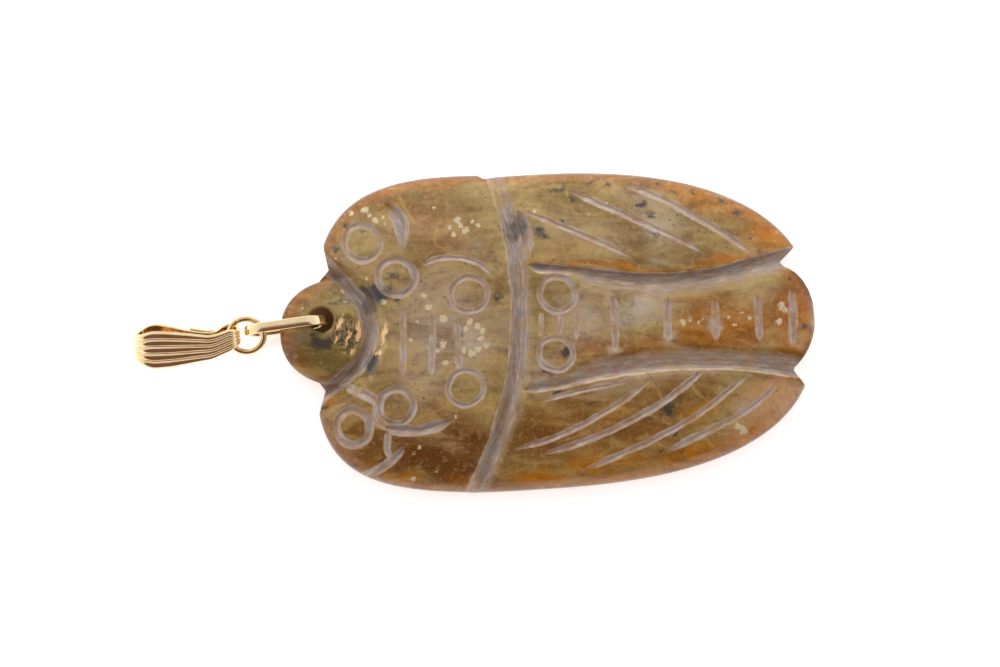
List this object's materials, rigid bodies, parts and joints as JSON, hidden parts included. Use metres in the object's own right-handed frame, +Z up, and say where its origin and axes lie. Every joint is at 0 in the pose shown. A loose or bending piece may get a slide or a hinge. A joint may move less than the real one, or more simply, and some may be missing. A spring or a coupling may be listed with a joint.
{
  "type": "carved stone cicada pendant",
  "caption": "Domed hardstone cicada carving, drilled through the head and hung by an oblong gold link, a jump ring and a fluted bail.",
  "frame": {"origin": "middle of the flat back of the cicada, where it rests", "axes": "+X from the gold bail to the cicada's tail, +Y across the wings, +Z up out of the carved crown"},
  "size_m": [0.0699, 0.0329, 0.0062],
  "materials": {
    "jade": "polished brown jade, cloudy and slightly translucent, with matte pale lilac-grey carved grooves",
    "gold_link": "polished yellow gold",
    "gold_ring": "polished yellow gold",
    "gold_bail": "polished yellow gold, fluted"
  },
  "bodies": {
    "root": {"cicada": "jade", "link": "gold_link", "jump_ring": "gold_ring", "bail": "gold_bail"}
  },
  "joints": []
}
